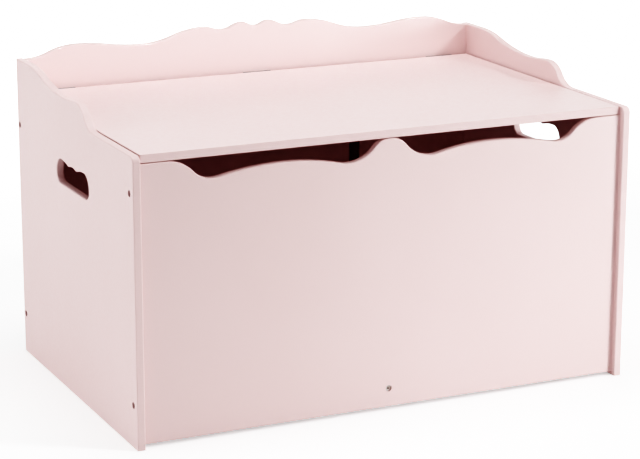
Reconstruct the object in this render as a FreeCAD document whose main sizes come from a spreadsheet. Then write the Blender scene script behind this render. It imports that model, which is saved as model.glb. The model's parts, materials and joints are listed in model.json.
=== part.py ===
import FreeCAD, Part
import Sketcher
import math
import os

# Toy box: painted boards screwed at the corners, a seat lid on three hinges and two friction lid supports.
# Millimetres, +X to the right, +Y to the back, +Z up, origin on the floor below the middle of the box.

# Driving dimensions: alias, millimetres (or a count), meaning
SIZES = [
    ("box_width", 840, "outside of one side to outside of the other"),
    ("box_depth", 536, "front edge to back edge of a side"),
    ("seat_height", 447, "top of the lid and of the low part of the sides"),
    ("side_thickness", 12.7, "side boards"),
    ("front_thickness", 12.7, "front board"),
    ("back_thickness", 12.7, "back board"),
    ("lid_thickness", 12.7, "lid board"),
    ("bottom_thickness", 12, "bottom board"),
    ("edge_round", 2, "rounding of the walls' long edges"),
    ("lid_edge_round", 0.8, "rounding of the lid's edges"),
    ("floor_gap", 5, "front and back boards above the floor"),
    ("front_recess", 9, "front board behind the sides' front edges"),
    ("back_recess", 4, "back board ahead of the sides' back edges"),
    ("lid_setback", 1, "lid's front edge behind the front board's face"),
    ("lid_side_gap", 2.8, "lid to each side"),
    ("lid_rest_gap", 1, "shut lid above the front board's top"),
    ("hinge_gap", 7, "lid's back edge to the back board"),
    ("back_rise", 52.2, "back of the sides above the seat"),
    ("side_back_flat", 61, "level top of a side at its back"),
    ("side_fall_run", 171, "length of the first fall of a side's top"),
    ("side_fall", 22.2, "depth of that fall"),
    ("side_fall_bend", 61.5, "part of that fall that bends at its top"),
    ("shoulder_run", 62, "length of the slow rise to the shoulder"),
    ("shoulder_rise", 4.2, "height of that rise"),
    ("side_drop_run", 70.5, "length of the drop from the shoulder to seat level"),
    ("side_corner_radius", 10, "front top corner of a side"),
    ("crest_end_flat", 1, "level top of the back board at each end"),
    ("crest_end_bend", 37, "part of the crest's first rise that bends at the end"),
    ("outer_lobe_inset", 87.5, "crest's outer lobe from the end of the back board"),
    ("outer_lobe_rise", 18.3, "crest's outer lobe above the level ends"),
    ("wide_valley_rise", 9.1, "wide valley above the level ends"),
    ("inner_lobe_offset", 93.2, "crest's inner lobe from the middle"),
    ("inner_lobe_rise", 30, "inner lobe above the level ends"),
    ("small_valley_offset", 60.9, "small valley from the middle"),
    ("small_valley_rise", 23.9, "small valley above the level ends"),
    ("middle_lobe_offset", 24.2, "middle lobe from the middle"),
    ("middle_lobe_rise", 33.7, "middle lobe above the level ends"),
    ("middle_valley_rise", 26.7, "valley at the middle above the level ends"),
    ("tab_half_width", 3.3, "half of the level tab between the finger gaps"),
    ("gap_inner_run", 67.8, "finger gap's slope beside the tab"),
    ("gap_inner_bend", 44.7, "part of that slope that bends at the low place"),
    ("gap_outer_run", 72.7, "finger gap's slope at its outer end"),
    ("gap_outer_bend", 43.6, "part of that slope that bends at the top"),
    ("gap_end_flat", 42.7, "level top of the front board at each end"),
    ("gap_depth", 31.9, "finger gap at its two low places"),
    ("gap_hump_depth", 19.4, "finger gap over its hump"),
    ("gap_hump_shift", 5.7, "hump nearer to the tab than halfway between the low places"),
    ("gap_low_bend", 11.5, "part of the hump's slopes that bends at a low place"),
    ("hand_hole_length", 150, "hand hole, front to back"),
    ("hand_hole_height", 39, "hand hole, bottom to the top of its lobes"),
    ("hand_hole_dip", 5, "two dips of the hand hole's top below its lobes"),
    ("hand_hole_dip_offset", 18, "each dip from the hand hole's middle"),
    ("hand_hole_dip_bend", 3, "part of the slopes beside a dip that bends at it"),
    ("hand_hole_hump", 2.4, "hump between the dips above them"),
    ("hand_hole_drop", 110, "bottom of the hand hole below the seat"),
    ("hand_hole_top_radius", 22, "upper corners of the hand hole"),
    ("hand_hole_low_radius", 15, "lower corners of the hand hole"),
    ("bottom_height", 29, "underside of the bottom board above the floor"),
    ("groove_depth", 5, "housing of the bottom board in the walls"),
    ("groove_play", 0.3, "slack of the bottom board in its grooves"),
    ("joint_screw_top_inset", 43, "upper corner screw below the front board's top"),
    ("joint_screw_low_inset", 62, "lower corner screw above the boards' bottom edge"),
    ("joint_screw_length", 50, "corner screw, whole length"),
    ("joint_screw_shank", 5, "corner screw, shank diameter"),
    ("joint_screw_head", 10, "corner screw, head diameter"),
    ("joint_screw_rim", 0.5, "corner screw, straight rim of the head"),
    ("joint_screw_sink", 2.5, "corner screw, head below the board's face"),
    ("socket_flats", 4, "hexagon socket, across flats"),
    ("socket_depth", 2.4, "hexagon socket depth"),
    ("small_screw_length", 12, "hinge and support screw, whole length"),
    ("small_screw_shank", 3, "hinge and support screw, shank diameter"),
    ("small_screw_head", 5, "hinge and support screw, head diameter"),
    ("small_screw_rim", 0.2, "hinge and support screw, straight rim of the head"),
    ("recess_span", 2.8, "cross recess, tip to tip"),
    ("recess_width", 0.8, "cross recess, width of an arm"),
    ("recess_depth", 0.8, "cross recess depth"),
    ("screw_clearance", 0.1, "radial room round a screw in its hole"),
    ("hinge_axis_drop", 3, "hinge axis below the lid's top"),
    ("hinge_inset", 56, "middle of an end hinge from the inside of the side"),
    ("hinge_length", 50, "hinge along the lid"),
    ("knuckle_radius", 3.2, "outside of the hinge barrels"),
    ("hinge_pin_radius", 1.5, "hinge pin"),
    ("pin_play", 0.05, "running clearance round a pin"),
    ("knuckle_play", 0.5, "gap between neighbouring knuckles"),
    ("leaf_thickness", 1.5, "hinge leaf"),
    ("lid_leaf_drop", 9, "hinge leaf on the lid, below the axis"),
    ("back_leaf_drop", 22, "hinge leaf on the back board, below the axis"),
    ("lid_leaf_screw_drop", 5.8, "screws of the lid leaf below the axis"),
    ("back_leaf_screw_drop", 13, "screws of the back leaf below the axis"),
    ("leaf_screw_spacing", 32, "between the two screws of a leaf"),
    ("support_offset", 187, "lid support from the middle of the box"),
    ("support_width", 19, "arms of a lid support"),
    ("support_thickness", 2, "arms of a lid support"),
    ("support_back_length", 190, "arm on the back board, below the axis"),
    ("support_lid_length", 150, "arm under the lid, ahead of its back edge"),
    ("support_barrel_radius", 2.1, "outside of a lid support's barrel, low enough to hide behind the lid"),
    ("support_pin_radius", 0.8, "pin of a lid support"),
    ("sleeve_wall", 0.5, "friction sleeve round the pin"),
    ("support_screw_inset", 15, "last screw from the end of an arm"),
    ("support_screw_pitch", 55, "between the screws of an arm"),
]
LEAF_KNUCKLES = 5
SUPPORT_KNUCKLES = 3
SUPPORT_SCREWS = 3
HEXAGON_SIDES = 6
EDGE_TOLERANCE = 1e-4

doc = FreeCAD.newDocument("ToyBox")
sheet = doc.addObject("Spreadsheet::Sheet", "Sizes")
for row, (alias, amount, meaning) in enumerate(SIZES, start=1):
    sheet.set(f"A{row}", alias)
    sheet.set(f"B{row}", str(amount))
    sheet.set(f"C{row}", meaning)
    sheet.setAlias(f"B{row}", alias)
doc.recompute()


class Size:
    """A length, known as a number and as the expression on the sheet that gives it."""

    def __init__(self, value, text):
        self.value = value
        self.text = text

    def joined(self, sign, other, value):
        return Size(value, f"({self.text} {sign} {as_size(other).text})")

    def __add__(self, other):
        return self.joined("+", other, self.value + as_size(other).value)

    def __sub__(self, other):
        return self.joined("-", other, self.value - as_size(other).value)

    def __mul__(self, other):
        return self.joined("*", other, self.value * as_size(other).value)

    def __truediv__(self, other):
        return self.joined("/", other, self.value / as_size(other).value)

    def __neg__(self):
        return self * -1


def as_size(number):
    return number if isinstance(number, Size) else Size(number, f"({number})")


def size(alias):
    return Size(float(sheet.get(alias)), f"Sizes.{alias}")


ZERO = as_size(0)
ONE = as_size(1)


class Outline:
    """A closed sketch outline drawn from point to point, with every point and radius held by the sheet."""

    def __init__(self, sketch, x, y):
        self.sketch = sketch
        self.start = (x, y)
        self.here = (x, y)
        self.first_end = None
        self.last_end = None

    def hold(self, kind, arguments, length):
        index = self.sketch.addConstraint(Sketcher.Constraint(kind, *arguments, length.value))
        name = f"held_{index}"
        self.sketch.renameConstraint(index, name)
        self.sketch.setExpression(f"Constraints.{name}", length.text)

    def add(self, curve, x, y, begin, end):
        index = self.sketch.addGeometry(curve, False)
        if self.last_end:
            self.sketch.addConstraint(Sketcher.Constraint("Coincident", *self.last_end, index, begin))
        else:
            self.first_end = (index, begin)
        self.last_end = (index, end)
        self.here = (x, y)
        if (x, y) == self.start:
            self.sketch.addConstraint(Sketcher.Constraint("Coincident", index, end, *self.first_end))
        self.hold("DistanceX", (-1, 1, index, end), x)
        self.hold("DistanceY", (-1, 1, index, end), y)
        return index

    def line_to(self, x, y):
        ends = [FreeCAD.Vector(px.value, py.value, 0) for px, py in (self.here, (x, y))]
        self.add(Part.LineSegment(*ends), x, y, 1, 2)

    def arc_to(self, x, y, radius, turns_left):
        begin = FreeCAD.Vector(self.here[0].value, self.here[1].value, 0)
        end = FreeCAD.Vector(x.value, y.value, 0)
        chord = end - begin
        height = math.sqrt(max(radius.value ** 2 - chord.Length ** 2 / 4, 0))
        side = FreeCAD.Vector(-chord.y, chord.x, 0).normalize() * (height if turns_left else -height)
        centre = (begin + end) / 2 + side
        angles = [math.atan2(p.y - centre.y, p.x - centre.x) for p in (begin, end)]
        if not turns_left:
            angles.reverse()
        if angles[1] < angles[0]:
            angles[1] += 2 * math.pi
        circle = Part.Circle(centre, FreeCAD.Vector(0, 0, 1), radius.value)
        order = (1, 2) if turns_left else (2, 1)
        index = self.add(Part.ArcOfCircle(circle, *angles), x, y, *order)
        self.hold("Radius", (index,), radius)

    def swell_to(self, x, y, bend=None):
        """An S of two arcs, level at both ends; bend is the first arc's length along x, or half the S."""
        begin_x, begin_y = self.here
        run = x - begin_x
        rise = y - begin_y
        share = as_size(0.5) if bend is None else bend / (run if run.value > 0 else -run)
        upward = rise.value > 0
        both_radii = (run * run + rise * rise) / (rise * (2 if upward else -2))
        turns_left = upward == (run.value > 0)
        self.arc_to(begin_x + run * share, begin_y + rise * share, both_radii * share, turns_left)
        self.arc_to(x, y, both_radii * (ONE - share), not turns_left)

    def close(self):
        self.line_to(*self.start)


# Places shared by several pieces
half_width = size("box_width") / 2
half_inside = half_width - size("side_thickness")
half_depth = size("box_depth") / 2
seat = size("seat_height")
lid_low = seat - size("lid_thickness")
front_top = lid_low - size("lid_rest_gap")
front_face = size("front_recess") - half_depth
front_inside = front_face + size("front_thickness")
back_outside = half_depth - size("back_recess")
back_face = back_outside - size("back_thickness")
lid_front = front_face + size("lid_setback")
lid_back = back_face - size("hinge_gap")
side_back_top = seat + size("back_rise")
axis_y = back_face - size("hinge_gap") / 2
axis_z = seat - size("hinge_axis_drop")
bottom_middle = size("bottom_height") + size("bottom_thickness") / 2
groove_height = size("bottom_thickness") + size("groove_play")
screw_levels = [
    size("floor_gap") + size("joint_screw_low_inset"),
    front_top - size("joint_screw_top_inset"),
]
screw_depths = [(front_face + front_inside) / 2, (back_face + back_outside) / 2]
joint_screw = ("joint_screw_length", "joint_screw_shank", "joint_screw_head", "joint_screw_rim")
small_screw = ("small_screw_length", "small_screw_shank", "small_screw_head", "small_screw_rim")


def new_sketch(body, role, offset=None):
    """A sketch on one of the body's own origin planes, moved along the plane's normal by offset."""
    plane = next(item for item in body.Origin.OriginFeatures if item.Role == role)
    sketch = body.newObject("Sketcher::SketchObject", "Sketch")
    sketch.AttachmentSupport = [(plane, "")]
    sketch.MapMode = "FlatFace"
    if offset is not None:
        sketch.setExpression("AttachmentOffset.Base.z", offset.text)
    return sketch


def rectangle(sketch, x_low, x_high, y_low, y_high):
    outline = Outline(sketch, x_low, y_low)
    outline.line_to(x_high, y_low)
    outline.line_to(x_high, y_high)
    outline.line_to(x_low, y_high)
    outline.close()


def circle(sketch, x, y, radius):
    middle = FreeCAD.Vector(x.value, y.value, 0)
    index = sketch.addGeometry(Part.Circle(middle, FreeCAD.Vector(0, 0, 1), radius.value))
    held = Outline(sketch, x, y)
    held.hold("DistanceX", (-1, 1, index, 3), x)
    held.hold("DistanceY", (-1, 1, index, 3), y)
    held.hold("Radius", (index,), radius)


def pad(body, sketch, length, backward=False):
    feature = body.newObject("PartDesign::Pad", "Pad")
    feature.Profile = sketch
    feature.setExpression("Length", length.text)
    feature.Reversed = backward
    doc.recompute()
    return feature


def pocket(body, sketch, depth=None, forward=False):
    """A cut against the sketch's normal, or along it if forward; through everything if no depth is given."""
    before = body.Shape.Volume
    feature = body.newObject("PartDesign::Pocket", "Pocket")
    feature.Profile = sketch
    feature.Reversed = forward
    if depth is None:
        feature.Type = "ThroughAll"
    else:
        feature.setExpression("Length", depth.text)
    doc.recompute()
    if body.Shape.Volume >= before:
        raise RuntimeError(f"{body.Label}: a cut removes nothing")
    return feature


def mirrored(body, feature):
    """The other half of a body whose half ends on the YZ plane."""
    plane = next(item for item in body.Origin.OriginFeatures if item.Role == "YZ_Plane")
    mirror = body.newObject("PartDesign::Mirrored", "Mirrored")
    mirror.Originals = [feature]
    mirror.MirrorPlane = (plane, [""])
    mirror.Refine = True
    body.Tip = mirror
    doc.recompute()
    return mirror


def rounded(body, feature, radius, wanted):
    """Rounds each edge that wanted accepts, given the edge's ends and middle."""
    names = []
    for number, edge in enumerate(feature.Shape.Edges, start=1):
        middle = edge.valueAt((edge.FirstParameter + edge.LastParameter) / 2)
        ends = [vertex.Point for vertex in edge.Vertexes]
        if wanted([middle] + ends):
            names.append(f"Edge{number}")
    fillet = body.newObject("PartDesign::Fillet", "Fillet")
    fillet.Base = (feature, names)
    fillet.setExpression("Radius", radius.text)
    doc.recompute()
    return fillet


def along(points, axis, places):
    """True if every point has one and the same of the given places along the axis."""
    return any(all(abs(getattr(p, axis) - place) < EDGE_TOLERANCE for p in points) for place in places)


def new_body(name):
    body = doc.addObject("PartDesign::Body", name)
    body.Label = name
    return body


def boolean(kind, label, base, tool):
    result = doc.addObject(kind, label)
    result.Base = base
    result.Tool = tool
    result.Label = label
    return result


# Screws: each pattern is one body with the face it enters at the origin, and copies are placed by links
def screw_body(name, aliases, start, sink, clearance):
    """A screw, or with clearance its hole, turned from start down; its head lies sink below the origin."""
    length, shank, head, rim = [size(alias) for alias in aliases]
    shank_radius = shank / 2 + clearance
    head_radius = head / 2 + clearance
    rim_end = -sink - rim
    tip = -sink - length - clearance
    body = new_body(name)
    sketch = new_sketch(body, "XZ_Plane")
    outline = Outline(sketch, ZERO, start)
    outline.line_to(head_radius, start)
    outline.line_to(head_radius, rim_end)
    outline.line_to(shank_radius, rim_end - head_radius + shank_radius)
    outline.line_to(shank_radius, tip + shank / 2)
    outline.line_to(ZERO, tip)
    outline.close()
    turned = body.newObject("PartDesign::Revolution", "Revolution")
    turned.Profile = sketch
    turned.ReferenceAxis = (sketch, ["V_Axis"])
    turned.Angle = 360
    doc.recompute()
    return body


def hexagon_socket(body, level):
    corner_radius = size("socket_flats") / math.sqrt(3)
    corners = []
    for number in range(HEXAGON_SIDES):
        angle = 2 * math.pi * number / HEXAGON_SIDES
        corners.append((corner_radius * math.cos(angle), corner_radius * math.sin(angle)))
    outline = Outline(new_sketch(body, "XY_Plane", level), *corners[0])
    for corner in corners[1:]:
        outline.line_to(*corner)
    outline.close()
    pocket(body, outline.sketch, size("socket_depth"))


def cross_recess(body):
    tip = size("recess_span") / 2
    edge = size("recess_width") / 2
    corners = [(tip, edge), (edge, edge), (edge, tip)]
    points = []
    for quarter in range(4):
        points.extend(corners)
        corners = [(-y, x) for x, y in corners]
    outline = Outline(new_sketch(body, "XY_Plane"), *points[0])
    for point in points[1:]:
        outline.line_to(*point)
    outline.close()
    pocket(body, outline.sketch, size("recess_depth"))


joint_sink = size("joint_screw_sink")
joint_screw_pattern = screw_body("joint_screw_pattern", joint_screw, -joint_sink, joint_sink, ZERO)
hexagon_socket(joint_screw_pattern, -joint_sink)
joint_screw_hole = screw_body("joint_screw_hole", joint_screw, ZERO, joint_sink, size("screw_clearance"))
small_screw_pattern = screw_body("small_screw_pattern", small_screw, ZERO, ZERO, ZERO)
cross_recess(small_screw_pattern)
small_screw_hole = screw_body("small_screw_hole", small_screw, ZERO, ZERO, size("screw_clearance"))


def placed(label, pattern, places, head_direction):
    """Copies of a pattern at places on a face, with their heads facing head_direction, as one group."""
    links = []
    for place in places:
        link = doc.addObject("App::Link", f"{label}_copy")
        link.LinkedObject = pattern
        turn = FreeCAD.Rotation(FreeCAD.Vector(0, 0, 1), FreeCAD.Vector(*head_direction))
        link.Placement = FreeCAD.Placement(FreeCAD.Vector(), turn)
        for axis, length in zip("xyz", place):
            link.setExpression(f"Placement.Base.{axis}", length.text)
        links.append(link)
    group = doc.addObject("Part::Compound", label)
    group.Links = links
    group.Label = label
    return group


def screw_group(label, kind, places, head_direction):
    """The screws of one node, and the holes that they need."""
    patterns = {
        "joint": (joint_screw_pattern, joint_screw_hole),
        "small": (small_screw_pattern, small_screw_hole),
    }
    screw, hole = patterns[kind]
    nodes.append(placed(label, screw, places, head_direction))
    return placed(f"{label}_holes", hole, places, head_direction)


def drilled(label, body, hole_groups):
    """A piece with the holes of its screws cut out, as a finished node."""
    piece = body
    for number, holes in enumerate(hole_groups, start=1):
        piece = boolean("Part::Cut", f"{label}_cut_{number}", piece, holes)
    body.Label = f"{label}_blank"
    piece.Label = label
    nodes.append(piece)


nodes = []

# Corner screws and bottom screws
side_screw_holes = {}
for hand, sign in (("left", -1), ("right", 1)):
    places = [(half_width * sign, depth, level) for depth in screw_depths for level in screw_levels]
    side_screw_holes[hand] = screw_group(f"{hand}_side_screws", "joint", places, (sign, 0, 0))
front_screw_places = [(ZERO, front_face, bottom_middle)]
back_screw_places = [(ZERO, back_outside, bottom_middle)]
front_screw_holes = screw_group("front_bottom_screw", "joint", front_screw_places, (0, -1, 0))
back_screw_holes = screw_group("back_bottom_screw", "joint", back_screw_places, (0, 1, 0))

# Hinge and support places along the lid
hinge_places = {
    "left": size("hinge_inset") - half_inside,
    "centre": ZERO,
    "right": half_inside - size("hinge_inset"),
}
support_places = {"left": -size("support_offset"), "right": size("support_offset")}
lid_leaf_face = lid_back + size("leaf_thickness")
back_leaf_face = back_face - size("leaf_thickness")
lid_arm_face = lid_low - size("support_thickness")
back_arm_face = back_face - size("support_thickness")
leaf_screw_places = []
for middle in hinge_places.values():
    leaf_screw_places.append(middle - size("leaf_screw_spacing") / 2)
    leaf_screw_places.append(middle + size("leaf_screw_spacing") / 2)
lid_leaf_screw_z = axis_z - size("lid_leaf_screw_drop")
back_leaf_screw_z = axis_z - size("back_leaf_screw_drop")
lid_leaf_places = [(x, lid_leaf_face, lid_leaf_screw_z) for x in leaf_screw_places]
back_leaf_places = [(x, back_leaf_face, back_leaf_screw_z) for x in leaf_screw_places]
lid_leaf_holes = screw_group("hinge_lid_screws", "small", lid_leaf_places, (0, 1, 0))
back_leaf_holes = screw_group("hinge_back_screws", "small", back_leaf_places, (0, -1, 0))
lid_arm_places = []
back_arm_places = []
for middle in support_places.values():
    for number in range(SUPPORT_SCREWS):
        from_end = size("support_screw_inset") + size("support_screw_pitch") * number
        lid_arm_places.append((middle, lid_back - size("support_lid_length") + from_end, lid_arm_face))
        back_arm_places.append((middle, back_arm_face, axis_z - size("support_back_length") + from_end))
lid_arm_holes = screw_group("support_lid_screws", "small", lid_arm_places, (0, 0, -1))
back_arm_holes = screw_group("support_back_screws", "small", back_arm_places, (0, -1, 0))


# Side boards: scrolled top, hand hole, stopped groove for the bottom board
def side_outline(sketch):
    fall_start = half_depth - size("side_back_flat")
    fall_end = fall_start - size("side_fall_run")
    shoulder = fall_end - size("shoulder_run")
    fall_level = side_back_top - size("side_fall")
    corner = size("side_corner_radius")
    outline = Outline(sketch, -half_depth, ZERO)
    outline.line_to(half_depth, ZERO)
    outline.line_to(half_depth, side_back_top)
    outline.line_to(fall_start, side_back_top)
    outline.swell_to(fall_end, fall_level, size("side_fall_bend"))
    outline.swell_to(shoulder, fall_level + size("shoulder_rise"))
    outline.swell_to(shoulder - size("side_drop_run"), seat)
    outline.line_to(corner - half_depth, seat)
    outline.arc_to(-half_depth, seat - corner, corner, True)
    outline.close()


def hand_hole_outline(sketch):
    end = size("hand_hole_length") / 2
    low = seat - size("hand_hole_drop")
    top = low + size("hand_hole_height")
    dip = top - size("hand_hole_dip")
    hump = dip + size("hand_hole_hump")
    dip_offset = size("hand_hole_dip_offset")
    dip_bend = size("hand_hole_dip_bend")
    high_radius = size("hand_hole_top_radius")
    low_radius = size("hand_hole_low_radius")
    lobe = end - high_radius
    outline = Outline(sketch, low_radius - end, low)
    outline.line_to(end - low_radius, low)
    outline.arc_to(end, low + low_radius, low_radius, True)
    outline.line_to(end, top - high_radius)
    outline.arc_to(lobe, top, high_radius, True)
    outline.swell_to(dip_offset, dip, lobe - dip_offset - dip_bend)
    outline.swell_to(ZERO, hump, dip_bend)
    outline.swell_to(-dip_offset, dip, dip_offset - dip_bend)
    outline.swell_to(-lobe, top, dip_bend)
    outline.arc_to(-end, top - high_radius, high_radius, True)
    outline.line_to(-end, low + low_radius)
    outline.arc_to(*outline.start, low_radius, True)


def side_panel(hand, sign):
    body = new_body(f"{hand}_side_panel")
    inner = half_inside * sign
    profile = new_sketch(body, "YZ_Plane", inner)
    side_outline(profile)
    pad(body, profile, size("side_thickness"), backward=sign < 0)
    hole = new_sketch(body, "YZ_Plane", inner)
    hand_hole_outline(hole)
    cut = pocket(body, hole, forward=sign > 0)
    faces = (inner.value, half_width.value * sign)

    def on_a_face(points):
        return along(points, "x", faces) and not along(points, "z", (0,))

    rounded(body, cut, size("edge_round"), on_a_face)
    groove = new_sketch(body, "YZ_Plane", inner)
    rectangle(
        groove,
        front_inside - size("groove_depth"),
        back_face + size("groove_depth"),
        size("bottom_height"),
        size("bottom_height") + groove_height,
    )
    pocket(body, groove, size("groove_depth"), forward=sign > 0)
    drilled(f"{hand}_side_panel", body, [side_screw_holes[hand]])


side_panel("left", -1)
side_panel("right", 1)


# Front board: two finger gaps with a tab between them, groove along the inside
def front_outline(sketch):
    low_level = front_top - size("gap_depth")
    inner_low = size("tab_half_width") + size("gap_inner_run")
    outer_end = half_inside - size("gap_end_flat")
    outer_low = outer_end - size("gap_outer_run")
    hump = (outer_low + inner_low) / 2 - size("gap_hump_shift")
    outline = Outline(sketch, ZERO, size("floor_gap"))
    outline.line_to(half_inside, size("floor_gap"))
    outline.line_to(half_inside, front_top)
    outline.line_to(outer_end, front_top)
    outline.swell_to(outer_low, low_level, size("gap_outer_bend"))
    outline.swell_to(hump, front_top - size("gap_hump_depth"), size("gap_low_bend"))
    outline.swell_to(inner_low, low_level, hump - inner_low - size("gap_low_bend"))
    outline.swell_to(size("tab_half_width"), front_top, size("gap_inner_bend"))
    outline.line_to(ZERO, front_top)
    outline.close()


def wall_groove(body, inside, forward):
    """A groove right along a front or back board, cut from its inside face."""
    groove = new_sketch(body, "XZ_Plane", -inside)
    rectangle(groove, -half_inside, half_inside, size("bottom_height"), size("bottom_height") + groove_height)
    pocket(body, groove, size("groove_depth"), forward=forward)


def front_panel():
    body = new_body("front_panel")
    profile = new_sketch(body, "XZ_Plane", -front_face)
    front_outline(profile)
    half = pad(body, profile, size("front_thickness"), backward=True)
    whole = mirrored(body, half)
    faces = (front_face.value, front_inside.value)
    rounded(body, whole, size("edge_round"), lambda points: along(points, "y", faces)
            and not along(points, "x", (-half_inside.value, half_inside.value)))
    wall_groove(body, front_inside, forward=True)
    drilled("front_panel", body, [*side_screw_holes.values(), front_screw_holes])


front_panel()


# Back board: scalloped crest, groove along the inside
def back_outline(sketch):
    outer_lobe = half_inside - size("outer_lobe_inset")
    inner_lobe = size("inner_lobe_offset")
    outline = Outline(sketch, ZERO, size("floor_gap"))
    outline.line_to(half_inside, size("floor_gap"))
    outline.line_to(half_inside, side_back_top)
    outline.line_to(half_inside - size("crest_end_flat"), side_back_top)
    outline.swell_to(outer_lobe, side_back_top + size("outer_lobe_rise"), size("crest_end_bend"))
    outline.swell_to((outer_lobe + inner_lobe) / 2, side_back_top + size("wide_valley_rise"))
    outline.swell_to(inner_lobe, side_back_top + size("inner_lobe_rise"))
    outline.swell_to(size("small_valley_offset"), side_back_top + size("small_valley_rise"))
    outline.swell_to(size("middle_lobe_offset"), side_back_top + size("middle_lobe_rise"))
    outline.swell_to(ZERO, side_back_top + size("middle_valley_rise"))
    outline.close()


def back_panel():
    body = new_body("back_panel")
    profile = new_sketch(body, "XZ_Plane", -back_face)
    back_outline(profile)
    half = pad(body, profile, size("back_thickness"), backward=True)
    whole = mirrored(body, half)
    faces = (back_face.value, back_outside.value)
    rounded(body, whole, size("edge_round"), lambda points: along(points, "y", faces)
            and not along(points, "x", (-half_inside.value, half_inside.value)))
    wall_groove(body, back_face, forward=False)
    holes = [*side_screw_holes.values(), back_screw_holes, back_leaf_holes, back_arm_holes]
    drilled("back_panel", body, holes)


back_panel()


# Bottom board: lies on the lower faces of the grooves
def bottom_panel():
    reach = size("groove_depth") - size("groove_play")
    body = new_body("bottom_panel")
    sketch = new_sketch(body, "XY_Plane", size("bottom_height"))
    rectangle(sketch, -half_inside - reach, half_inside + reach, front_inside - reach, back_face + reach)
    pad(body, sketch, size("bottom_thickness"))
    drilled("bottom_panel", body, [front_screw_holes, back_screw_holes])


bottom_panel()


# Lid: held just clear of the front board by its hinges and supports, eased on its front and side edges
def lid_panel():
    half_lid = half_inside - size("lid_side_gap")
    body = new_body("lid_panel")
    sketch = new_sketch(body, "XY_Plane", lid_low)
    rectangle(sketch, -half_lid, half_lid, lid_front, lid_back)
    board = pad(body, sketch, size("lid_thickness"))
    rounded(body, board, size("lid_edge_round"), lambda points: not along(points, "y", (lid_back.value,)))
    drilled("lid_panel", body, [lid_leaf_holes, lid_arm_holes])


lid_panel()


# Hinge leaves and support arms: a plate with a barrel along its top, cut into knuckles
def leaf(label, middle, width, plate, radius, bore, count, kept, holes):
    """plate is the outline of the plate's section; kept is 0 or 1, for even or odd knuckles kept."""
    first = middle - width / 2
    body = new_body(label)
    section = new_sketch(body, "YZ_Plane", first)
    outline = Outline(section, *plate[0])
    for point in plate[1:]:
        outline.line_to(*point)
    outline.close()
    pad(body, section, width)
    barrel = new_sketch(body, "YZ_Plane", first)
    circle(barrel, axis_y, axis_z, radius)
    pad(body, barrel, width)
    opening = new_sketch(body, "YZ_Plane", first)
    circle(opening, axis_y, axis_z, bore)
    pocket(body, opening, forward=True)
    gaps = new_sketch(body, "XZ_Plane")
    room = radius + size("knuckle_play")
    for number in range(count):
        if number % 2 != kept:
            low = first + width * number / count - size("knuckle_play") / 2
            high = low + width / count + size("knuckle_play")
            rectangle(gaps, low, high, axis_z - room, axis_z + room)
    pocket(body, gaps)
    drilled(label, body, [holes])


def pin(label, middle, length, radius):
    rod = doc.addObject("Part::Cylinder", label)
    rod.Label = label
    rod.Placement = FreeCAD.Placement(FreeCAD.Vector(), FreeCAD.Rotation(FreeCAD.Vector(0, 1, 0), 90))
    rod.setExpression("Radius", radius.text)
    rod.setExpression("Height", length.text)
    for axis, place in zip("xyz", (middle - length / 2, axis_y, axis_z)):
        rod.setExpression(f"Placement.Base.{axis}", place.text)
    return rod


def upright_plate(outside, inside, drop):
    """Section of a plate that stands on a vertical face and hangs from the level of the axis."""
    return [(outside, axis_z), (outside, axis_z - drop), (inside, axis_z - drop), (inside, axis_z)]


def shelf(inside, radius):
    """Corners of the shelf that carries a narrow barrel, from the plate's inside face to the axis."""
    return [(inside, axis_z - radius), (axis_y, axis_z - radius), (axis_y, axis_z)]


for place, middle in hinge_places.items():
    length = size("hinge_length")
    radius = size("knuckle_radius")
    back_plate = upright_plate(back_face, back_leaf_face, size("back_leaf_drop"))
    lid_plate = upright_plate(lid_back, lid_leaf_face, size("lid_leaf_drop"))
    leaf(f"{place}_hinge_back_leaf", middle, length, back_plate,
         radius, size("hinge_pin_radius"), LEAF_KNUCKLES, 0, back_leaf_holes)
    leaf(f"{place}_hinge_lid_leaf", middle, length, lid_plate,
         radius, size("hinge_pin_radius") + size("pin_play"), LEAF_KNUCKLES, 1, lid_leaf_holes)
    nodes.append(pin(f"{place}_hinge_pin", middle, length, size("hinge_pin_radius")))

# Lid supports: strap arms whose barrel holds a friction sleeve on the pin
for place, middle in support_places.items():
    width = size("support_width")
    thickness = size("support_thickness")
    radius = size("support_barrel_radius")
    sleeve_radius = size("support_pin_radius") + size("pin_play") + size("sleeve_wall")
    back_plate = upright_plate(back_face, back_arm_face, size("support_back_length"))
    back_plate[-1:] = shelf(back_arm_face, radius)
    arm_end = lid_back - size("support_lid_length")
    lid_plate = [
        (lid_back, axis_z),
        (lid_back, lid_low),
        (arm_end, lid_low),
        (arm_end, lid_arm_face),
        (lid_back + thickness, lid_arm_face),
        *shelf(lid_back + thickness, radius),
    ]
    leaf(f"{place}_support_back_arm", middle, width, back_plate,
         radius, size("support_pin_radius"), SUPPORT_KNUCKLES, 0, back_arm_holes)
    leaf(f"{place}_support_lid_arm", middle, width, lid_plate,
         radius, sleeve_radius, SUPPORT_KNUCKLES, 1, lid_arm_holes)
    nodes.append(pin(f"{place}_support_pin", middle, width, size("support_pin_radius")))
    sleeve_length = width / SUPPORT_KNUCKLES - size("knuckle_play")
    sleeve = pin(f"{place}_sleeve_outside", middle, sleeve_length, sleeve_radius)
    bore = pin(f"{place}_sleeve_bore", middle, sleeve_length, size("support_pin_radius") + size("pin_play"))
    nodes.append(boolean("Part::Cut", f"{place}_support_sleeve", sleeve, bore))

doc.recompute()
for item in doc.Objects:
    if "Invalid" in item.State or "Error" in item.State:
        raise RuntimeError(f"{item.Label} failed: {item.State}")
for node in nodes:
    if node.Shape.isNull() or not node.Shape.isValid():
        raise RuntimeError(f"{node.Label} has no valid shape")

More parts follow.
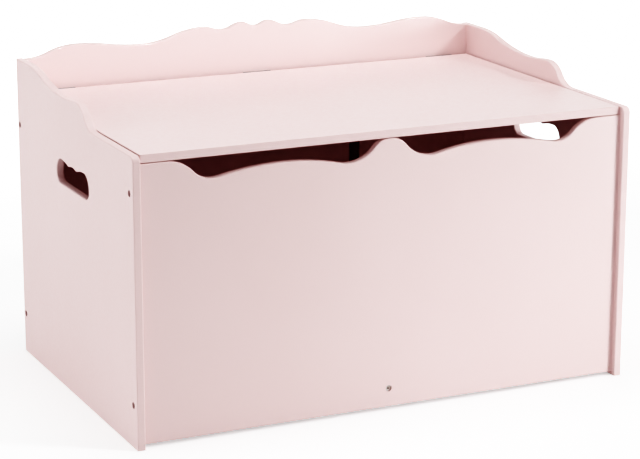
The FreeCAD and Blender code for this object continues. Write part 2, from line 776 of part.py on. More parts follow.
os.makedirs("parts", exist_ok=True)
for node in nodes:
    node.Shape.exportStep(f"parts/{node.Label}.step")
    print(f"{node.Label}: {len(node.Shape.Solids)} solids, {node.Shape.Volume:.0f} mm3")
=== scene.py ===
import json
import math

import bpy
from bpy.props import FloatProperty, FloatVectorProperty, PointerProperty
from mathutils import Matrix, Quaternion, Vector

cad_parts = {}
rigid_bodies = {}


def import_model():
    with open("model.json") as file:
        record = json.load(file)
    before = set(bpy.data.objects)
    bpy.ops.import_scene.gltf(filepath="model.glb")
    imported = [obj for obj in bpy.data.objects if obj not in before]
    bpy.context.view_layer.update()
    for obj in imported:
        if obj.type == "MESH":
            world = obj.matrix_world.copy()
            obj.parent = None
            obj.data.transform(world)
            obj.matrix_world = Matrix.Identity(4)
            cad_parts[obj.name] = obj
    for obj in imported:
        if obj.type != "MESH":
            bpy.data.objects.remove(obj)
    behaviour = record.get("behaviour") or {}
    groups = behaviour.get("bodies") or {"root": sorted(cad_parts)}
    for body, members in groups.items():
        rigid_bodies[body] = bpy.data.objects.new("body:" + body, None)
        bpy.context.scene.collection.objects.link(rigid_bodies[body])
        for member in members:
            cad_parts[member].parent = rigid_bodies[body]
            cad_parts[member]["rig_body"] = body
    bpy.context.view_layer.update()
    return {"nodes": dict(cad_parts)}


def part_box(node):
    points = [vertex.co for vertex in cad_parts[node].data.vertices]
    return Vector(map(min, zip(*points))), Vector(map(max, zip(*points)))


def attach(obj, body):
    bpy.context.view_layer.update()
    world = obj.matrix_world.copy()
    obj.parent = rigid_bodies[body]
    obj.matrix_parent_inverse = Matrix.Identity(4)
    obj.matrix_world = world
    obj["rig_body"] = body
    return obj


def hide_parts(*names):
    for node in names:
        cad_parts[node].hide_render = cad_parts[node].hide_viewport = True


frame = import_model()

bl_info = {
    "name": "Toy Box Finish",
    "version": (1, 0, 0),
    "blender": (4, 5, 0),
    "location": "View3D > Sidebar > Toy Box",
    "description": "Paints the boards of a toy box, models its hardware and sets a studio stage",
    "category": "Object",
}

# Painted boards: each finish has its boards, the axis of their thickness and a shift of its pattern
BOARD_FINISHES = {
    "satin_paint_on_sides": (("left_side_panel", "right_side_panel"), 0, (0.0, 0.0, 0.0)),
    "satin_paint_on_walls": (("front_panel", "back_panel"), 1, (3.7, 1.3, 0.4)),
    "satin_paint_on_lid": (("lid_panel",), 2, (8.1, 2.9, 5.2)),
    "satin_paint_on_bottom": (("bottom_panel",), 2, (1.9, 6.3, 7.7)),
}

# Noise: the range it usually fills, and the scale of each pattern in features per metre
NOISE_LOW = 0.3
NOISE_HIGH = 0.7
COAT_SCALE = 3.0
SPECKLE_SCALE = 160.0
WAVE_SCALE = 9.0
FIBRE_SCALE = 700.0
PATCH_SCALE = 90.0
GRAIN_SCALE = 900.0
FLOOR_SCALE = 1.5

# Depths of the fine relief in metres
WAVE_DEPTH = 0.00025
FIBRE_DEPTH = 0.00005
GRAIN_DEPTH = 0.00002

# Board faces and edges, told apart by how squarely they look along the board's thickness
EDGE_FACING = 0.75
FACE_FACING = 0.98
EDGE_DULLNESS = 0.1

# Darker patches of steel and floor, as a share of the main tone
PATCH_SHADE = 0.7
FLOOR_SHADE = 0.985

# Hardware
HINGES = ("left", "centre", "right")
SUPPORTS = ("left", "right")
SUPPORT_SCREWS = 3
SCREW_SIDES = 40
SCREW_TWIST = math.radians(37)
SOCKET_SIDES = 6
SOCKET_POINT_DEPTH = 0.25
SOCKET_POINT_WIDTH = 0.1
DOME_STEPS = ((0.55, 0.8), (0.35, 0.65), (0.10, 0.4))
CROSS_TAPER = 0.7

# Modelling
UP = Vector((0, 0, 1))
DOWN = -UP
SQUARE_ON = 0.9
WELD_DISTANCE = 0.000005
FLAT_ANGLE = math.radians(1)
BEVEL_ANGLE = math.radians(35)
SMOOTH_ANGLE = math.radians(40)

# Stage, in metres
FLOOR_SIZE = 60
FLOOR_DROP = 0.0003
FLOOR_ROUGHNESS = 0.7
GLOW_START = 1.2
GLOW_END = 4.0
GLOW_OUT_OF_SIGHT = 0.05
BOX_AIM = Vector((0, 0, 0.3))
LOW_AIM = Vector((0.32, -0.26, 0.08))
CREST_AIM = Vector((-0.17, 0.25, 0.50))
WIDE_SPREAD = 180
SENSOR_WIDTH_MM = 36

# Film: points of its curve along the straight part, the shoulder and the toe, as shares of each
STRAIGHT_STEPS = (0.25, 0.5, 0.75, 1.0)
SHOULDER_STEPS = (0.1, 0.2, 0.3, 0.4, 0.5, 0.6, 0.8)
TOE_STEPS = (0.08, 0.2, 0.35, 0.5, 0.65, 0.8, 1.0)


class ToyBoxPaint(bpy.types.PropertyGroup):
    """Colours and sheen of the painted boards."""

    colour: FloatVectorProperty(
        name="Paint", description="Main tone of the paint", subtype="COLOR",
        default=(0.830, 0.624, 0.616), min=0, max=1)
    deep_colour: FloatVectorProperty(
        name="Deep tone", description="Tone where the coat is thickest", subtype="COLOR",
        default=(0.801, 0.596, 0.586), min=0, max=1)
    edge_colour: FloatVectorProperty(
        name="Edge tone", description="Tone on the routed edges, which drink more paint", subtype="COLOR",
        default=(0.811, 0.602, 0.593), min=0, max=1)
    sheen_low: FloatProperty(
        name="Smoothest", description="Roughness of the smoothest spots", subtype="FACTOR",
        default=0.30, min=0, max=1)
    sheen_high: FloatProperty(
        name="Roughest", description="Roughness of the dullest spots", subtype="FACTOR",
        default=0.42, min=0, max=1)
    peel_size: FloatProperty(
        name="Orange peel", description="Width of the dimples left by spraying", unit="LENGTH",
        default=0.0025, min=0.0005)
    peel_depth: FloatProperty(
        name="Peel depth", description="Depth of those dimples", unit="LENGTH", default=0.00003, min=0)


class ToyBoxScrews(bpy.types.PropertyGroup):
    """Sizes of the screws and of the hardware's broken edges."""

    joint_head: FloatProperty(
        name="Corner screw head", description="Diameter of a corner screw's head", unit="LENGTH",
        default=0.010, min=0.006)
    joint_shank: FloatProperty(
        name="Corner screw shank", description="Diameter of a corner screw's shank", unit="LENGTH",
        default=0.005, min=0.002)
    joint_length: FloatProperty(
        name="Corner screw length", description="Head to tip", unit="LENGTH", default=0.050, min=0.02)
    joint_rim: FloatProperty(
        name="Corner screw rim", description="Straight rim of a corner screw's head", unit="LENGTH",
        default=0.0005, min=0.0002)
    joint_edge: FloatProperty(
        name="Corner screw edge", description="Rounding of a corner screw's edges", unit="LENGTH",
        default=0.00015, min=0)
    socket_flats: FloatProperty(
        name="Socket", description="Hexagon socket across its flats", unit="LENGTH",
        default=0.004, min=0.001)
    socket_depth: FloatProperty(
        name="Socket depth", description="Depth of the hexagon socket", unit="LENGTH",
        default=0.0024, min=0.0005)
    small_head: FloatProperty(
        name="Small screw head", description="Diameter of a hinge screw's head", unit="LENGTH",
        default=0.005, min=0.003)
    small_shank: FloatProperty(
        name="Small screw shank", description="Diameter of a hinge screw's shank", unit="LENGTH",
        default=0.003, min=0.001)
    small_length: FloatProperty(
        name="Small screw length", description="Head to tip", unit="LENGTH", default=0.012, min=0.005)
    small_rim: FloatProperty(
        name="Small screw rim", description="Straight rim of a hinge screw's head", unit="LENGTH",
        default=0.0002, min=0.0001)
    small_crown: FloatProperty(
        name="Crown", description="Height of the domed head of a hinge screw", unit="LENGTH",
        default=0.0003, min=0)
    small_edge: FloatProperty(
        name="Small screw edge", description="Rounding of a hinge screw's edges", unit="LENGTH",
        default=0.00008, min=0)
    cross_span: FloatProperty(
        name="Cross recess", description="Cross recess, tip to tip", unit="LENGTH",
        default=0.0028, min=0.001)
    cross_width: FloatProperty(
        name="Cross arm", description="Width of an arm of the cross recess", unit="LENGTH",
        default=0.0008, min=0.0002)
    cross_depth: FloatProperty(
        name="Cross depth", description="Depth of the cross recess", unit="LENGTH",
        default=0.0008, min=0.0002)
    broken_edge: FloatProperty(
        name="Broken edge", description="Rounding of the hinges' and supports' edges", unit="LENGTH",
        default=0.0003, min=0)


class ToyBoxMetal(bpy.types.PropertyGroup):
    """Colours of the hardware."""

    # Painted shade: the same screws as the bright bottom screws, darkened to stand in for the shade in their
    # sunk holes
    shaded_corner_screw: FloatVectorProperty(
        name="Corner screws", description="Dark plating of the corner screws", subtype="COLOR",
        default=(0.22, 0.19, 0.18), min=0, max=1)
    low_screw: FloatVectorProperty(
        name="Low screws", description="Dull zinc of the screws into the bottom board", subtype="COLOR",
        default=(0.64, 0.60, 0.57), min=0, max=1)
    plating: FloatVectorProperty(
        name="Plating", description="Zinc plating of hinges and pins", subtype="COLOR",
        default=(0.28, 0.30, 0.31), min=0, max=1)
    coating: FloatVectorProperty(
        name="Black coat", description="Coating of the lid supports", subtype="COLOR",
        default=(0.012, 0.013, 0.017), min=0, max=1)
    nylon: FloatVectorProperty(
        name="Nylon", description="Friction sleeves", subtype="COLOR",
        default=(0.74, 0.72, 0.66), min=0, max=1)


class ToyBoxStage(bpy.types.PropertyGroup):
    """Floor, lights, film and camera."""

    floor_colour: FloatVectorProperty(
        name="Floor", description="Pale studio floor", subtype="COLOR",
        default=(0.94, 0.94, 0.94), min=0, max=1)
    floor_glow: FloatProperty(
        name="Floor glow", description="Glow that keeps the floor white in the picture", default=0.50, min=0)
    room_light: FloatProperty(
        name="Room light", description="Light from the white room all round", default=0.072, min=0)
    backdrop: FloatProperty(
        name="Backdrop", description="Brightness of the room as the camera sees it", default=2.2, min=0)
    key_power: FloatProperty(
        name="Key", description="Distant lamp at the right front", unit="POWER", default=160, min=0)
    low_power: FloatProperty(
        name="Low right", description="Soft box low at the right front", unit="POWER", default=2.0, min=0)
    fill_power: FloatProperty(
        name="Left fill", description="Large soft box at the left", unit="POWER", default=200, min=0)
    top_power: FloatProperty(
        name="Top", description="Soft box overhead", unit="POWER", default=80, min=0)
    wall_power: FloatProperty(
        name="Back wall", description="Lit wall behind that shines on the lid", unit="POWER",
        default=72, min=0)
    back_power: FloatProperty(
        name="Background", description="Soft box over the floor behind the box", unit="POWER",
        default=80, min=0)
    crest_power: FloatProperty(
        name="Crest", description="Narrow strip light on the back board", unit="POWER", default=0.36, min=0)
    film_toe: FloatProperty(
        name="Film toe", description="How much green and blue the picture loses in its darkest tones",
        subtype="FACTOR", default=0.75, min=0, max=1)
    film_toe_end: FloatProperty(
        name="Film toe end", description="Level above which green and blue are kept whole",
        default=0.5, min=0.1, max=1)
    film_knee: FloatProperty(
        name="Film knee", description="Level where the picture starts to hold back highlights",
        default=0.45, min=0, max=1)
    film_white: FloatProperty(
        name="Film white", description="Light level that the picture shows as white", default=2.0, min=1)
    camera_place: FloatVectorProperty(
        name="Camera", description="Where the camera stands", subtype="TRANSLATION", unit="LENGTH",
        default=(-1.5102, -3.2197, 1.1820))
    camera_turn: FloatVectorProperty(
        name="Aim", description="How the camera is turned", subtype="EULER", unit="ROTATION",
        default=(math.radians(74.9815), math.radians(-0.0951), math.radians(-25.1470)))
    lens: FloatProperty(
        name="Lens", description="Focal length in millimetres", default=126.65, min=1)


# Building blocks for materials
def feed(tree, socket, value):
    """Joins an input to a socket, or sets it to a value."""
    if isinstance(value, bpy.types.NodeSocket):
        tree.links.new(value, socket)
    else:
        socket.default_value = value


def new_node(tree, kind, settings=None, **inputs):
    """A shader node with its settings, and with its inputs set to values or joined to sockets."""
    node = tree.nodes.new(kind)
    for name, value in (settings or {}).items():
        setattr(node, name, value)
    for name, value in inputs.items():
        feed(tree, node.inputs[name.replace("_", " ")], value)
    return node


def new_material(name):
    """A material, its node tree and its shader."""
    material = bpy.data.materials.new(name)
    material.use_nodes = True
    tree = material.node_tree
    return material, tree, tree.nodes["Principled BSDF"]


def mapped(tree, value, low=0.0, high=1.0, start=0.0, end=1.0):
    """A value that runs from start to end, mapped to run from low to high."""
    node = new_node(tree, "ShaderNodeMapRange", Value=value, From_Min=start, From_Max=end)
    feed(tree, node.inputs["To Min"], low)
    feed(tree, node.inputs["To Max"], high)
    return node.outputs[0]


def noise(tree, place, scale, detail):
    """Noise stretched so that its usual range fills 0 to 1."""
    texture = new_node(tree, "ShaderNodeTexNoise", Vector=place, Scale=scale, Detail=detail)
    return mapped(tree, texture.outputs[0], start=NOISE_LOW, end=NOISE_HIGH)


def mixed(tree, factor, first, second):
    """A blend of two colours, each of them a socket or three numbers."""
    mix = new_node(tree, "ShaderNodeMix", {"data_type": "RGBA"})
    sockets = {socket.identifier: socket for socket in (*mix.inputs, *mix.outputs)}
    feed(tree, sockets["Factor_Float"], factor)
    for name, colour in (("A_Color", first), ("B_Color", second)):
        joined = isinstance(colour, bpy.types.NodeSocket)
        feed(tree, sockets[name], colour if joined else (*colour, 1.0))
    return sockets["Result_Color"]


def arithmetic(tree, operation, *values):
    """The result of a sum on sockets and numbers."""
    node = new_node(tree, "ShaderNodeMath", {"operation": operation})
    for socket, value in zip(node.inputs, values):
        feed(tree, socket, value)
    return node.outputs[0]


def bump(tree, height, depth, under=None):
    """Fine relief of a depth in metres, on top of the relief under it."""
    node = new_node(tree, "ShaderNodeBump", Distance=depth, Height=height)
    if under is not None:
        tree.links.new(under, node.inputs["Normal"])
    return node.outputs["Normal"]


def dressed(names, material):
    """Gives CAD nodes a material in their own slots."""
    for name in names:
        mesh = frame["nodes"][name].data
        mesh.materials.clear()
        mesh.materials.append(material)


# Finishes
def painted_board(name, paint, thickness_axis, shift):
    """Satin paint on fibreboard whose thickness lies along one axis."""
    material, tree, shader = new_material(name)
    texture = new_node(tree, "ShaderNodeTexCoord")
    place = new_node(tree, "ShaderNodeMapping", Vector=texture.outputs["Object"], Location=shift).outputs[0]
    facing = new_node(tree, "ShaderNodeSeparateXYZ", Vector=texture.outputs["Normal"])
    squarely = arithmetic(tree, "ABSOLUTE", facing.outputs[thickness_axis])
    flat = mapped(tree, squarely, start=EDGE_FACING, end=FACE_FACING)
    coat = mixed(tree, noise(tree, place, COAT_SCALE, detail=3.0), paint.colour, paint.deep_colour)
    tree.links.new(mixed(tree, flat, paint.edge_colour, coat), shader.inputs["Base Color"])
    speckle = noise(tree, place, SPECKLE_SCALE, detail=2.0)
    face_sheen = mapped(tree, speckle, paint.sheen_low, paint.sheen_high)
    edge_sheen = arithmetic(tree, "ADD", face_sheen, EDGE_DULLNESS)
    tree.links.new(mapped(tree, flat, edge_sheen, face_sheen), shader.inputs["Roughness"])
    waves = bump(tree, noise(tree, place, WAVE_SCALE, detail=1.0), WAVE_DEPTH)
    dimples = noise(tree, place, 1.0 / paint.peel_size, detail=1.0)
    peel = bump(tree, dimples, paint.peel_depth, waves)
    fibre = noise(tree, place, FIBRE_SCALE, detail=2.0)
    edge_fibre = arithmetic(tree, "MULTIPLY", fibre, arithmetic(tree, "SUBTRACT", 1.0, flat))
    tree.links.new(bump(tree, edge_fibre, FIBRE_DEPTH, peel), shader.inputs["Normal"])
    return material


def hardware_finish(name, colour, smoothest, roughest, metallic=1.0):
    """Steel, a coat on steel or nylon, with darker patches and a fine grain."""
    material, tree, shader = new_material(name)
    place = new_node(tree, "ShaderNodeTexCoord").outputs["Object"]
    patches = noise(tree, place, PATCH_SCALE, detail=3.0)
    darker = [channel * PATCH_SHADE for channel in colour]
    tree.links.new(mixed(tree, patches, darker, colour), shader.inputs["Base Color"])
    grain = noise(tree, place, GRAIN_SCALE, detail=2.0)
    tree.links.new(mapped(tree, grain, smoothest, roughest), shader.inputs["Roughness"])
    tree.links.new(bump(tree, grain, GRAIN_DEPTH), shader.inputs["Normal"])
    shader.inputs["Metallic"].default_value = metallic
    return material


class TOYBOX_OT_paint_boards(bpy.types.Operator):
    """Paint the sides, the front, the back, the lid and the bottom"""

    bl_idname = "toybox.paint_boards"
    bl_label = "Paint boards"

    def execute(self, context):
        paint = context.scene.toy_box_paint
        for name, (boards, thickness_axis, shift) in BOARD_FINISHES.items():
            dressed(boards, painted_board(name, paint, thickness_axis, shift))
        return {"FINISHED"}


# Modelling steps
def only(*pieces):
    """Selects these pieces and nothing else; the first is the active one."""
    bpy.ops.object.select_all(action="DESELECT")
    for piece in pieces:
        piece.select_set(True)
    bpy.context.view_layer.objects.active = pieces[0]


def looks(face, way):
    """Whether a face looks squarely in a direction."""
    return face.normal.dot(way) > SQUARE_ON


def pick_faces(piece, wanted):
    """In edit mode, selects just the faces that pass the test."""
    bpy.ops.mesh.select_mode(type="FACE")
    bpy.ops.mesh.select_all(action="DESELECT")
    bpy.ops.object.mode_set(mode="OBJECT")
    for face in piece.data.polygons:
        face.select = wanted(face)
    bpy.ops.object.mode_set(mode="EDIT")


def draw_out(step, scale):
    """Extrudes the selected face along Z by a step and scales its new end about the Z axis."""
    bpy.ops.mesh.extrude_region_move(TRANSFORM_OT_translate={"value": (0, 0, step)})
    bpy.ops.transform.resize(value=(scale, scale, 1), center_override=(0, 0, 0))


def apply_modifier(piece, kind, **settings):
    """Adds a modifier with its settings and applies it."""
    modifier = piece.modifiers.new(kind.lower(), kind)
    for name, value in settings.items():
        setattr(modifier, name, value)
    only(piece)
    bpy.ops.object.modifier_apply(modifier=modifier.name)


def break_edges(piece, width):
    """Rounds the sharp edges a little, and smooths what is round."""
    apply_modifier(piece, "BEVEL", width=width, segments=2, limit_method="ANGLE", angle_limit=BEVEL_ANGLE)
    bpy.ops.object.shade_smooth_by_angle(angle=SMOOTH_ANGLE)


def cut_out(piece, cutter):
    """Cuts one piece out of another and throws the cutter away."""
    apply_modifier(piece, "BOOLEAN", object=cutter, operation="DIFFERENCE", solver="EXACT")
    bpy.data.objects.remove(cutter)


def turned_screw(name, head, rim, shank, length):
    """A countersunk screw on the Z axis: its head's top is at the origin and its tip points down."""
    bpy.ops.object.select_all(action="DESELECT")
    bpy.ops.mesh.primitive_cylinder_add(
        vertices=SCREW_SIDES, radius=head / 2, depth=rim, location=(0, 0, -rim / 2))
    screw = bpy.context.object
    screw.name = name
    bpy.ops.object.transform_apply()
    taper = (head - shank) / 2
    point = shank / 2
    bpy.ops.object.mode_set(mode="EDIT")
    pick_faces(screw, lambda face: looks(face, DOWN))
    draw_out(-taper, shank / head)
    draw_out(rim + taper + point - length, 1)
    draw_out(-point, 0)
    bpy.ops.mesh.merge(type="CENTER")
    bpy.ops.object.mode_set(mode="OBJECT")
    return screw


def joint_screw(screws):
    """A corner screw with a hexagon socket."""
    screw = turned_screw(
        "joint_screw", screws.joint_head, screws.joint_rim, screws.joint_shank, screws.joint_length)
    corner = screws.socket_flats / 2 / math.cos(math.pi / SOCKET_SIDES)
    bpy.ops.object.select_all(action="DESELECT")
    bpy.ops.mesh.primitive_cylinder_add(vertices=SOCKET_SIDES, radius=corner, depth=2 * screws.socket_depth)
    key = bpy.context.object
    bpy.ops.object.mode_set(mode="EDIT")
    pick_faces(key, lambda face: looks(face, DOWN))
    draw_out(-SOCKET_POINT_DEPTH * screws.socket_depth, SOCKET_POINT_WIDTH)
    bpy.ops.object.mode_set(mode="OBJECT")
    cut_out(screw, key)
    break_edges(screw, screws.joint_edge)
    return screw


def cross_blade(screws):
    """The tip of a cross driver, centred on the origin."""
    width = screws.cross_width
    bpy.ops.object.select_all(action="DESELECT")
    bpy.ops.mesh.primitive_cube_add(size=width)
    blade = bpy.context.object
    arm = (screws.cross_span - width) / 2
    bpy.ops.object.mode_set(mode="EDIT")
    for way in (Vector((1, 0, 0)), Vector((-1, 0, 0)), Vector((0, 1, 0)), Vector((0, -1, 0))):
        across = way.cross(UP)
        pick_faces(blade, lambda face: looks(face, way) and abs(face.center.dot(across)) < width / 2)
        bpy.ops.mesh.extrude_region_move(TRANSFORM_OT_translate={"value": way * arm})
    pick_faces(blade, lambda face: looks(face, DOWN))
    bpy.ops.transform.resize(value=(CROSS_TAPER, CROSS_TAPER, 1), center_override=(0, 0, 0))
    bpy.ops.mesh.select_all(action="SELECT")
    bpy.ops.transform.resize(value=(1, 1, 2 * screws.cross_depth / width), center_override=(0, 0, 0))
    bpy.ops.object.mode_set(mode="OBJECT")
    return blade


def small_screw(screws):
    """A hinge screw with a low dome and a cross recess."""
    screw = turned_screw(
        "small_screw", screws.small_head, screws.small_rim, screws.small_shank, screws.small_length)
    bpy.ops.object.mode_set(mode="EDIT")
    pick_faces(screw, lambda face: looks(face, UP))
    for rise, scale in DOME_STEPS:
        draw_out(rise * screws.small_crown, scale)
    bpy.ops.object.mode_set(mode="OBJECT")
    cut_out(screw, cross_blade(screws))
    break_edges(screw, screws.small_edge)
    return screw


def finished(piece, name, node, material):
    """Names and dresses a piece that stands for a CAD node and moves with that node's body."""
    piece.name = name
    piece.rotation_mode = "XYZ"
    piece.data.materials.clear()
    piece.data.materials.append(material)
    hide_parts(node)
    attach(piece, frame["nodes"][node]["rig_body"])


def set_screws(name, node, master, places, facing, material):
    """Joined copies of one screw that stand for a CAD node, each turned as it happened to stop."""
    upright = UP.rotation_difference(Vector(facing))
    copies = []
    for number, place in enumerate(places):
        only(master)
        bpy.ops.object.duplicate()
        copy = bpy.context.object
        copy.rotation_mode = "QUATERNION"
        copy.rotation_quaternion = upright @ Quaternion(UP, number * SCREW_TWIST)
        copy.location = place
        copies.append(copy)
    only(*copies)
    if len(copies) > 1:
        bpy.ops.object.join()
    bpy.ops.object.transform_apply()
    finished(bpy.context.object, name, node, material)


def eased_copy(node, width, finish, material):
    """A copy of a CAD piece with its sharp edges broken."""
    piece = bpy.data.objects.new(node, frame["nodes"][node].data.copy())
    bpy.context.collection.objects.link(piece)
    only(piece)
    bpy.ops.mesh.customdata_custom_splitnormals_clear()
    bpy.ops.object.mode_set(mode="EDIT")
    bpy.ops.mesh.select_all(action="SELECT")
    bpy.ops.mesh.remove_doubles(threshold=WELD_DISTANCE)
    bpy.ops.mesh.dissolve_limited(angle_limit=FLAT_ANGLE)
    bpy.ops.object.mode_set(mode="OBJECT")
    break_edges(piece, width)
    finished(piece, f"{node}_{finish}", node, material)


def spaced(low, high, count):
    """Evenly spaced values from low to high."""
    return [low + (high - low) * number / (count - 1) for number in range(count)]


class TOYBOX_OT_drive_corner_screws(bpy.types.Operator):
    """Model the corner screws and the bottom screws with their hexagon sockets"""

    bl_idname = "toybox.drive_corner_screws"
    bl_label = "Drive corner screws"

    def execute(self, context):
        screws = context.scene.toy_box_screws
        metal = context.scene.toy_box_metal
        # Painted shade: the corner screws get a darker steel colour for the shade in their holes, while the
        # bottom screws keep the zinc
        shaded_steel = hardware_finish("shade_darkened_steel", metal.shaded_corner_screw, smoothest=0.35, roughest=0.55)
        zinc = hardware_finish("dull_zinc_steel", metal.low_screw, smoothest=0.35, roughest=0.55)
        master = joint_screw(screws)
        radius = screws.joint_head / 2
        for side, way in (("left", -1), ("right", 1)):
            node = f"{side}_side_screws"
            low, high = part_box(node)
            face = high.x if way > 0 else low.x
            rows = (low.y + radius, high.y - radius)
            levels = (low.z + radius, high.z - radius)
            places = [(face, row, level) for row in rows for level in levels]
            set_screws(f"{side}_corner_screws", node, master, places, (way, 0, 0), shaded_steel)
        for wall, way in (("front", -1), ("back", 1)):
            node = f"{wall}_bottom_screw"
            low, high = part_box(node)
            face = high.y if way > 0 else low.y
            middle = (low + high) / 2
            places = [(middle.x, face, middle.z)]
            set_screws(f"{wall}_low_screw", node, master, places, (0, way, 0), zinc)
        bpy.data.objects.remove(master)
        return {"FINISHED"}


class TOYBOX_OT_hang_hinges(bpy.types.Operator):
    """Model the hinges and their screws"""

    bl_idname = "toybox.hang_hinges"
    bl_label = "Hang hinges"

    def execute(self, context):
        screws = context.scene.toy_box_screws
        metal = context.scene.toy_box_metal
        plated = hardware_finish("zinc_plated_steel", metal.plating, smoothest=0.22, roughest=0.4)
        middles = []
        for hinge in HINGES:
            for part in ("back_leaf", "lid_leaf", "pin"):
                eased_copy(f"{hinge}_hinge_{part}", screws.broken_edge, "plated", plated)
            low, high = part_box(f"{hinge}_hinge_pin")
            middles.append((low.x + high.x) / 2)
        master = small_screw(screws)
        for leaf, way in (("lid", 1), ("back", -1)):
            node = f"hinge_{leaf}_screws"
            low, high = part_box(node)
            reach = middles[0] - low.x - screws.small_head / 2
            face = high.y if way > 0 else low.y
            level = (low.z + high.z) / 2
            places = [(middle + end * reach, face, level) for middle in middles for end in (-1, 1)]
            set_screws(f"{node}_plated", node, master, places, (0, way, 0), plated)
        bpy.data.objects.remove(master)
        return {"FINISHED"}


class TOYBOX_OT_fit_supports(bpy.types.Operator):
    """Model the lid supports, their pins and their screws"""

    bl_idname = "toybox.fit_supports"
    bl_label = "Fit lid supports"

    def execute(self, context):
        screws = context.scene.toy_box_screws
        metal = context.scene.toy_box_metal
        coated = hardware_finish(
            "black_coated_steel", metal.coating, smoothest=0.38, roughest=0.55, metallic=0.0)
        plated = hardware_finish("bright_pin_steel", metal.plating, smoothest=0.2, roughest=0.32)
        for support in SUPPORTS:
            for arm in ("back_arm", "lid_arm"):
                eased_copy(f"{support}_support_{arm}", screws.broken_edge, "coated", coated)
            eased_copy(f"{support}_support_pin", screws.broken_edge, "plated", plated)
        nylon = hardware_finish("pale_nylon", metal.nylon, smoothest=0.4, roughest=0.5, metallic=0.0)
        dressed([f"{support}_support_sleeve" for support in SUPPORTS], nylon)
        master = small_screw(screws)
        radius = screws.small_head / 2
        node = "support_lid_screws"
        low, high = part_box(node)
        columns = (low.x + radius, high.x - radius)
        rows = spaced(low.y + radius, high.y - radius, SUPPORT_SCREWS)
        places = [(column, row, low.z) for column in columns for row in rows]
        set_screws(f"{node}_coated", node, master, places, (0, 0, -1), coated)
        node = "support_back_screws"
        low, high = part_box(node)
        columns = (low.x + radius, high.x - radius)
        levels = spaced(low.z + radius, high.z - radius, SUPPORT_SCREWS)
        places = [(column, low.y, level) for column in columns for level in levels]
        set_screws(f"{node}_coated", node, master, places, (0, -1, 0), coated)
        bpy.data.objects.remove(master)
        return {"FINISHED"}


# Stage
def soft_box(name, power, place, aim, width, height, spread=WIDE_SPREAD):
    """An area light that the camera does not see; spread is the angle it fans out, in degrees."""
    bpy.ops.object.light_add(type="AREA", location=place)
    light = bpy.context.object
    light.name = name
    light.data.energy = power
    light.data.shape = "RECTANGLE"
    light.data.size = width
    light.data.size_y = height
    light.data.spread = math.radians(spread)
    light.rotation_euler = (Vector(aim) - Vector(place)).to_track_quat("-Z", "Y").to_euler()
    light.visible_camera = False


def light_from(name, power, azimuth, elevation, distance, aim=BOX_AIM, **shape):
    """A soft box seen from its aim at two angles in degrees; azimuth 0 is the front and 90 the right."""
    turn = math.radians(azimuth)
    rise = math.radians(elevation)
    level = math.cos(rise)
    away = Vector((math.sin(turn) * level, -math.cos(turn) * level, math.sin(rise)))
    soft_box(name, power, aim + away * distance, aim, **shape)


def hang_lights(stage):
    """The lamp and soft boxes round the toy box, and those over the ground behind it."""
    light_from("key_lamp", stage.key_power, azimuth=51, elevation=32, distance=6.0, width=0.7, height=0.7)
    light_from("low_soft_box", stage.low_power, azimuth=40, elevation=3, distance=2.4, aim=LOW_AIM,
               width=0.5, height=0.5, spread=40)
    light_from("fill_soft_box", stage.fill_power, azimuth=-98, elevation=12, distance=6.0,
               width=4.0, height=3.0)
    light_from("top_soft_box", stage.top_power, azimuth=0, elevation=89, distance=3.0,
               width=2.2, height=2.2)
    soft_box("back_wall", stage.wall_power, place=(2.5, 5, 1.6), aim=(2.5, 0, 1.6), width=6.0, height=2.8)
    soft_box("background_soft_box", stage.back_power, place=(1.8, 3.6, 3.0), aim=(1.8, 3.6, 0),
             width=6.0, height=3.8, spread=60)
    light_from("crest_strip", stage.crest_power, azimuth=-3, elevation=20, distance=2.6, aim=CREST_AIM,
               width=1.1, height=0.08, spread=8)


def studio_floor(stage):
    """A pale floor that glows for the camera, more so far away, where it meets the backdrop."""
    bpy.ops.object.select_all(action="DESELECT")
    bpy.ops.mesh.primitive_plane_add(size=FLOOR_SIZE, location=(0, 0, -FLOOR_DROP))
    floor = bpy.context.object
    floor.name = "studio_floor"
    material, tree, shader = new_material("pale_floor")
    place = new_node(tree, "ShaderNodeTexCoord").outputs["Object"]
    shade = [channel * FLOOR_SHADE for channel in stage.floor_colour]
    tone = mixed(tree, noise(tree, place, FLOOR_SCALE, detail=2.0), stage.floor_colour, shade)
    tree.links.new(tone, shader.inputs["Base Color"])
    shader.inputs["Roughness"].default_value = FLOOR_ROUGHNESS
    shader.inputs["Emission Color"].default_value = (1, 1, 1, 1)
    away = new_node(tree, "ShaderNodeVectorMath", {"operation": "LENGTH"}, Vector=place).outputs["Value"]
    glow = mapped(tree, away, stage.floor_glow, stage.backdrop, start=GLOW_START, end=GLOW_END)
    seen = new_node(tree, "ShaderNodeLightPath").outputs["Is Camera Ray"]
    tree.links.new(mapped(tree, seen, GLOW_OUT_OF_SIGHT, glow), shader.inputs["Emission Strength"])
    floor.data.materials.append(material)


def white_room(scene, strength, backdrop):
    """A white room that lights softly and that the camera sees as a white backdrop."""
    world = bpy.data.worlds.new("white_room")
    world.use_nodes = True
    tree = world.node_tree
    seen = new_node(tree, "ShaderNodeLightPath").outputs["Is Camera Ray"]
    sky = tree.nodes["Background"]
    sky.inputs["Color"].default_value = (1, 1, 1, 1)
    tree.links.new(mapped(tree, seen, strength, backdrop), sky.inputs["Strength"])
    scene.world = world


def stand_camera(scene, stage):
    """The camera at the photograph's angle."""
    bpy.ops.object.camera_add(location=stage.camera_place, rotation=stage.camera_turn)
    camera = bpy.context.object
    camera.name = "photo_camera"
    camera.data.sensor_width = SENSOR_WIDTH_MM
    camera.data.lens = stage.lens
    scene.camera = camera


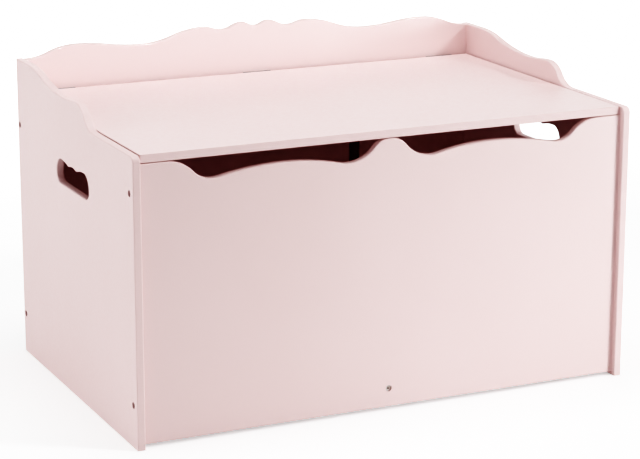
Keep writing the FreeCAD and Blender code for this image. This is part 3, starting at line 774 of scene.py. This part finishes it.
def film_response(view, knee, white, toe, toe_end):
    """Straight tones up to the knee, a shoulder that reaches white gently, and warm darks from a toe."""
    view.view_transform = "Standard"
    view.use_curve_mapping = True
    mapping = view.curve_mapping
    mapping.extend = "HORIZONTAL"
    mapping.white_level = (white, white, white)
    _, green, blue, all_channels = mapping.curves
    power = (white - knee) / (1 - knee)
    levels = [knee * step for step in STRAIGHT_STEPS]
    levels += [knee + (white - knee) * step for step in SHOULDER_STEPS]
    for level in levels:
        held = 1 - (1 - max(level - knee, 0) / (white - knee)) ** power
        all_channels.points.new(level / white, min(level, knee) + (1 - knee) * held)
    for step in TOE_STEPS:
        level = toe_end * step
        for curve in (green, blue):
            curve.points.new(level / white, (level - toe * level * (1 - step) ** 2) / white)
    mapping.update()


class TOYBOX_OT_set_stage(bpy.types.Operator):
    """Lay the floor, hang the lights and stand the camera"""

    bl_idname = "toybox.set_stage"
    bl_label = "Set stage"

    def execute(self, context):
        scene = context.scene
        stage = scene.toy_box_stage
        studio_floor(stage)
        white_room(scene, stage.room_light, stage.backdrop)
        hang_lights(stage)
        stand_camera(scene, stage)
        film_response(
            scene.view_settings, stage.film_knee, stage.film_white, stage.film_toe, stage.film_toe_end)
        return {"FINISHED"}


GROUPS = {
    "toy_box_paint": ToyBoxPaint,
    "toy_box_screws": ToyBoxScrews,
    "toy_box_metal": ToyBoxMetal,
    "toy_box_stage": ToyBoxStage,
}
STEPS = (
    TOYBOX_OT_paint_boards,
    TOYBOX_OT_drive_corner_screws,
    TOYBOX_OT_hang_hinges,
    TOYBOX_OT_fit_supports,
    TOYBOX_OT_set_stage,
)


class TOYBOX_PT_sidebar(bpy.types.Panel):
    """Lists the steps and the sizes and colours that they read"""

    bl_idname = "TOYBOX_PT_sidebar"
    bl_label = "Toy Box"
    bl_space_type = "VIEW_3D"
    bl_region_type = "UI"
    bl_category = "Toy Box"

    def draw(self, context):
        for name, group in GROUPS.items():
            settings = getattr(context.scene, name)
            for setting in group.__annotations__:
                self.layout.prop(settings, setting)
        for step in STEPS:
            self.layout.operator(step.bl_idname)


CLASSES = (*GROUPS.values(), *STEPS, TOYBOX_PT_sidebar)


def register():
    """Adds the settings, the steps and the panel to Blender."""
    for item in CLASSES:
        bpy.utils.register_class(item)
    for name, group in GROUPS.items():
        setattr(bpy.types.Scene, name, PointerProperty(type=group))


def unregister():
    """Takes them out again."""
    for name in GROUPS:
        delattr(bpy.types.Scene, name)
    for item in reversed(CLASSES):
        bpy.utils.unregister_class(item)


def main():
    """Runs the steps in order."""
    register()
    bpy.ops.toybox.paint_boards()
    bpy.ops.toybox.drive_corner_screws()
    bpy.ops.toybox.hang_hinges()
    bpy.ops.toybox.fit_supports()
    bpy.ops.toybox.set_stage()


if __name__ == "__main__":
    main()
